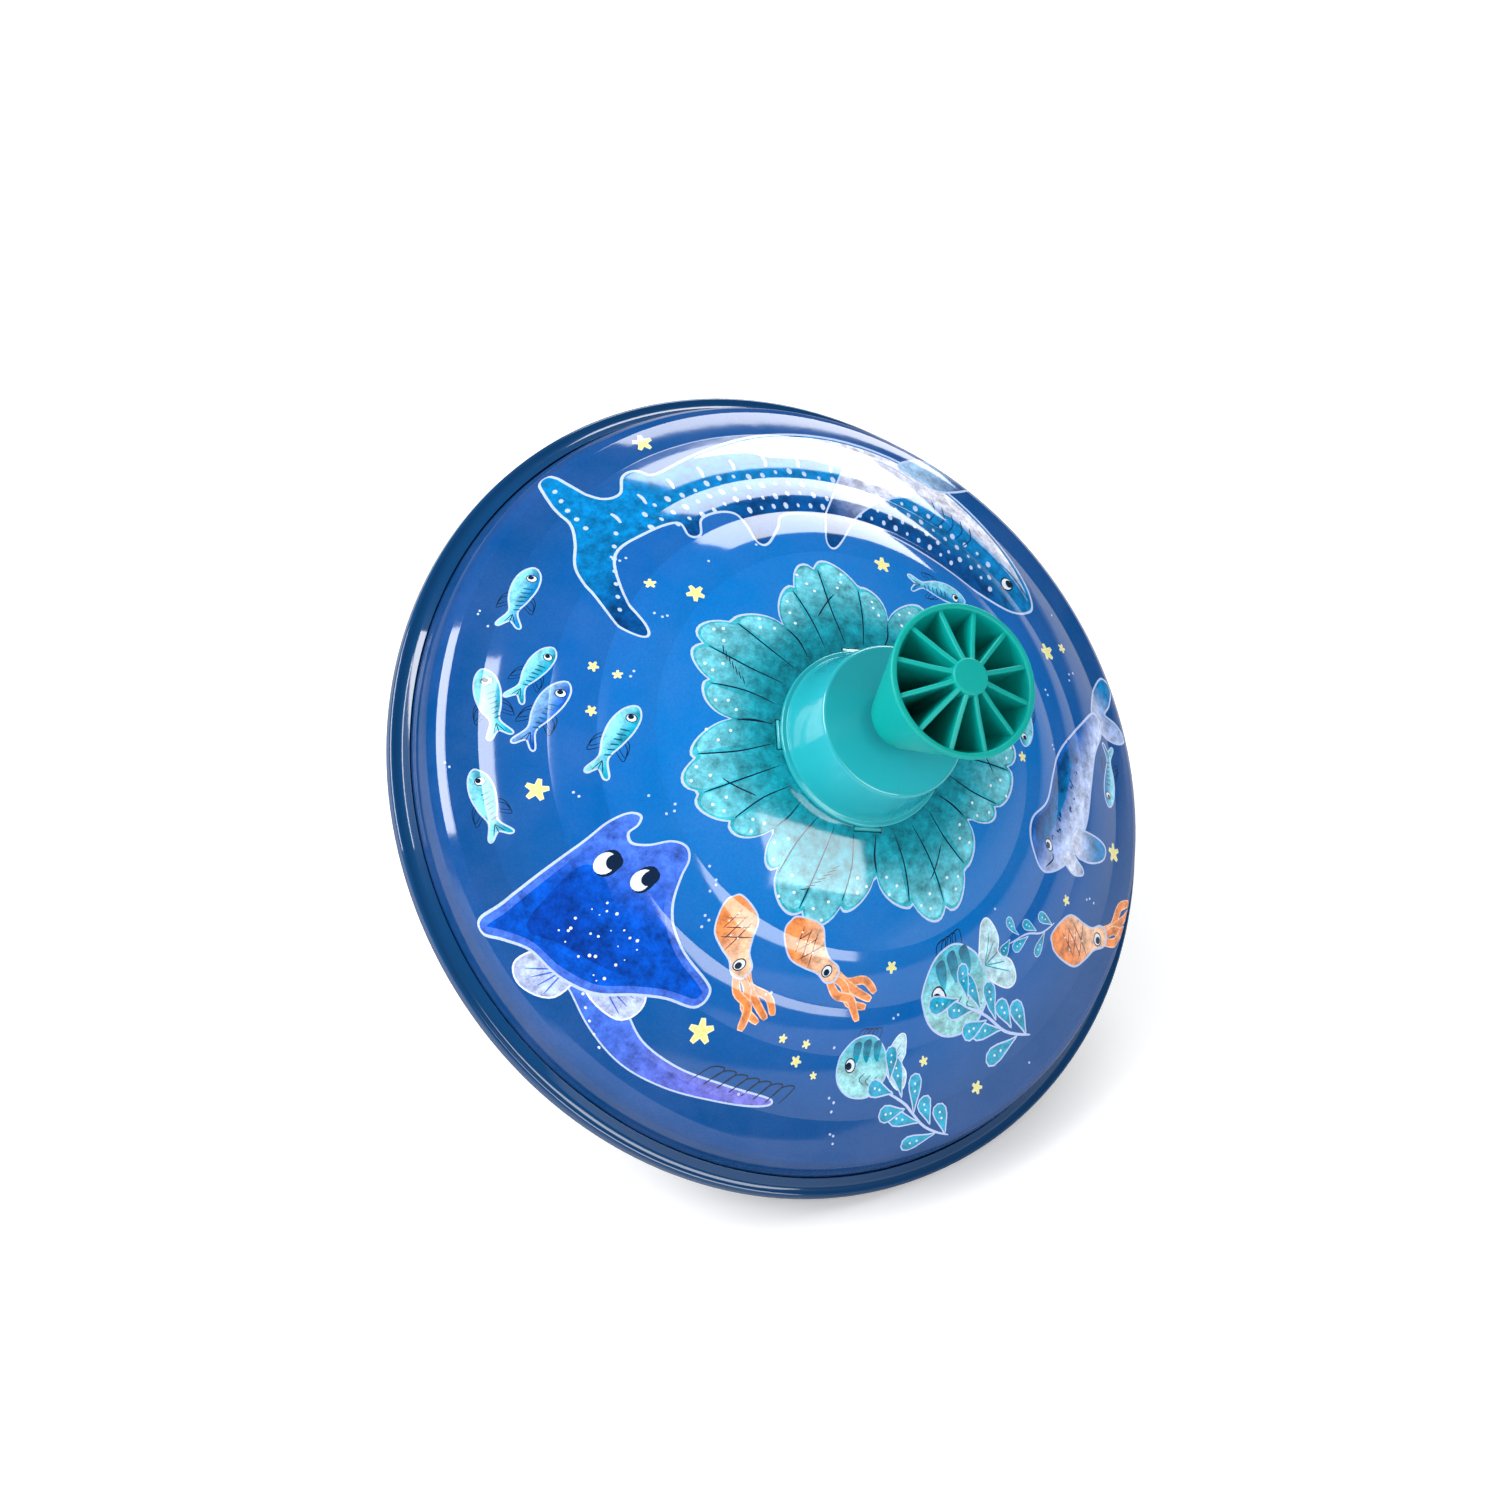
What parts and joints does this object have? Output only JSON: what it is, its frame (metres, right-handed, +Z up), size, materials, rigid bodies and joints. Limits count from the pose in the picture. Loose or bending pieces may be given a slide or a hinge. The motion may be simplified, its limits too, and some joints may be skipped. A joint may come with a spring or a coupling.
{
  "type": "spinning top",
  "caption": "Pump-action spinning top: stepped tin dome and conical bowl seamed at a rolled rim, clear collar, ribbed push knob on a twisted rod, moulded foot.",
  "frame": {"origin": "tip of the foot, on the spin axis", "axes": "+Z up along the spin axis, from the foot to the push knob; X and Y are equal, with one rib of the knob along +X"},
  "size_m": [0.19, 0.19, 0.1904],
  "materials": {
    "printed_tin": "gloss",
    "navy_tin": "gloss",
    "clear_teal": "clear gloss",
    "green_teal": "satin",
    "white_moulding": "matte",
    "steel": "bright zinc"
  },
  "bodies": {
    "housing": {"upper_shell": "printed_tin", "lower_shell": "navy_tin", "collar": "clear_teal", "clutch_plate": "white_moulding", "clutch_ring": "white_moulding", "thrust_washer": "steel", "guide_tube": "steel", "foot_socket": "white_moulding", "foot": "green_teal"},
    "plunger": {"knob": "green_teal", "twisted_rod": "steel", "rod_stop": "white_moulding", "stop_pin": "steel"},
    "nut": {"drive_nut": "white_moulding"}
  },
  "joints": [
    {"name": "knob_slide", "type": "slide", "parent": "housing", "child": "plunger", "axis": [0, 0, 1], "range_m": [0, 0.085]},
    {"name": "nut_turn", "type": "hinge", "parent": "housing", "child": "nut", "pos_m": [0, 0, 0.145], "axis": [0, 0, 1], "range_deg": [-512, 2]}
  ],
  "couplings": [
    {"joint": "nut_turn", "follows": "knob_slide", "rad_per_m": -104.72}
  ]
}
